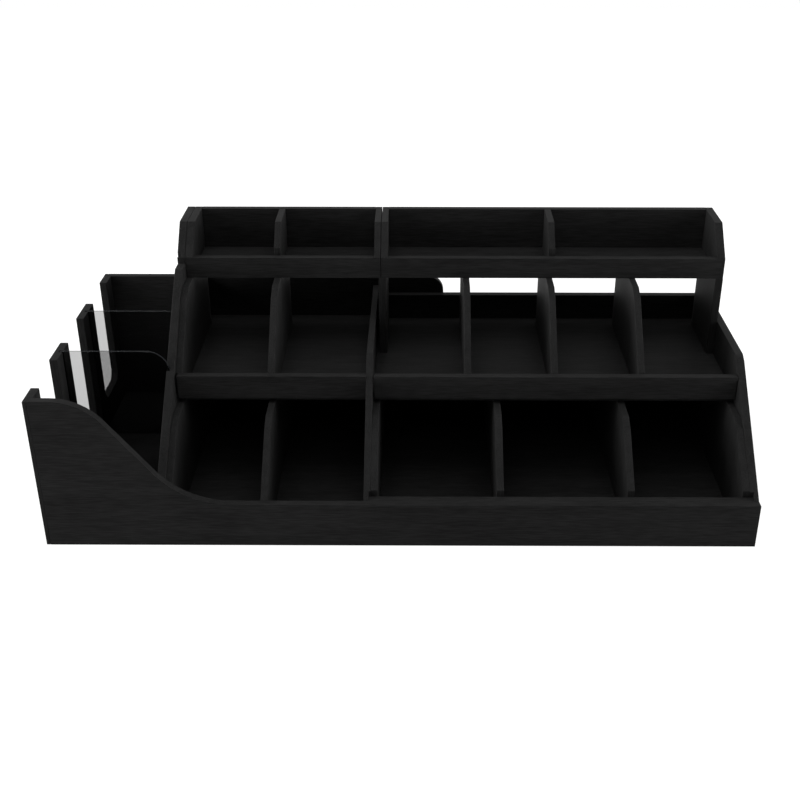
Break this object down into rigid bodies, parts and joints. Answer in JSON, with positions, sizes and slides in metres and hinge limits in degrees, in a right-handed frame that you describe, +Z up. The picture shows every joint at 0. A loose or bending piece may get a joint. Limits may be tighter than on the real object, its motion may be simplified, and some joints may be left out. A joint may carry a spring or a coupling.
{
  "type": "coffee station organizer",
  "caption": "Low black wood countertop box with lid bays parted by clear sheets and stepped pockets under two lift-off trays.",
  "frame": {"origin": "middle of the footprint, on the ground", "axes": "+X to the right as seen from the front, +Y to the back, +Z up"},
  "size_m": [0.69, 0.32, 0.248],
  "materials": {
    "black_wood": "matt black stain over fine straight grain",
    "clear_sheet": "clear polished acrylic"
  },
  "bodies": {
    "box": {"front_panel": "black_wood", "back_panel": "black_wood", "left_wall": "black_wood", "right_wall": "black_wood", "base_board": "black_wood", "tower_wall": "black_wood", "centre_wall": "black_wood", "step_back": "black_wood", "middle_riser": "black_wood", "right_riser": "black_wood", "tower_lower_side": "black_wood", "tower_lower_divider": "black_wood", "tower_shelf": "black_wood", "tower_lip": "black_wood", "tower_upper_side": "black_wood", "tower_upper_divider": "black_wood", "step_front_rail": "black_wood", "step_left_side": "black_wood", "step_right_side": "black_wood", "step_lower_dividers": "black_wood", "step_shelf": "black_wood", "step_lip": "black_wood", "step_upper_dividers": "black_wood"},
    "front_sheet": {"front_clear_sheet": "clear_sheet"},
    "rear_sheet": {"rear_clear_sheet": "clear_sheet"},
    "left_tray": {"left_tray_floor": "black_wood", "left_tray_back": "black_wood", "left_tray_left_side": "black_wood", "left_tray_right_side": "black_wood", "left_tray_lip": "black_wood", "left_tray_divider": "black_wood"},
    "right_tray": {"right_tray_floor": "black_wood", "right_tray_back": "black_wood", "right_tray_left_side": "black_wood", "right_tray_right_side": "black_wood", "right_tray_lip": "black_wood", "right_tray_divider": "black_wood"}
  },
  "joints": [
    {"name": "front_sheet_lift", "type": "slide", "parent": "box", "child": "front_sheet", "axis": [0, 0, 1], "range_m": [0, 0.16]},
    {"name": "rear_sheet_lift", "type": "slide", "parent": "box", "child": "rear_sheet", "axis": [0, 0, 1], "range_m": [0, 0.16]},
    {"name": "left_tray_lift", "type": "slide", "parent": "box", "child": "left_tray", "axis": [0, 0, 1], "range_m": [0, 0.06]},
    {"name": "right_tray_lift", "type": "slide", "parent": "box", "child": "right_tray", "axis": [0, 0, 1], "range_m": [0, 0.06]}
  ]
}
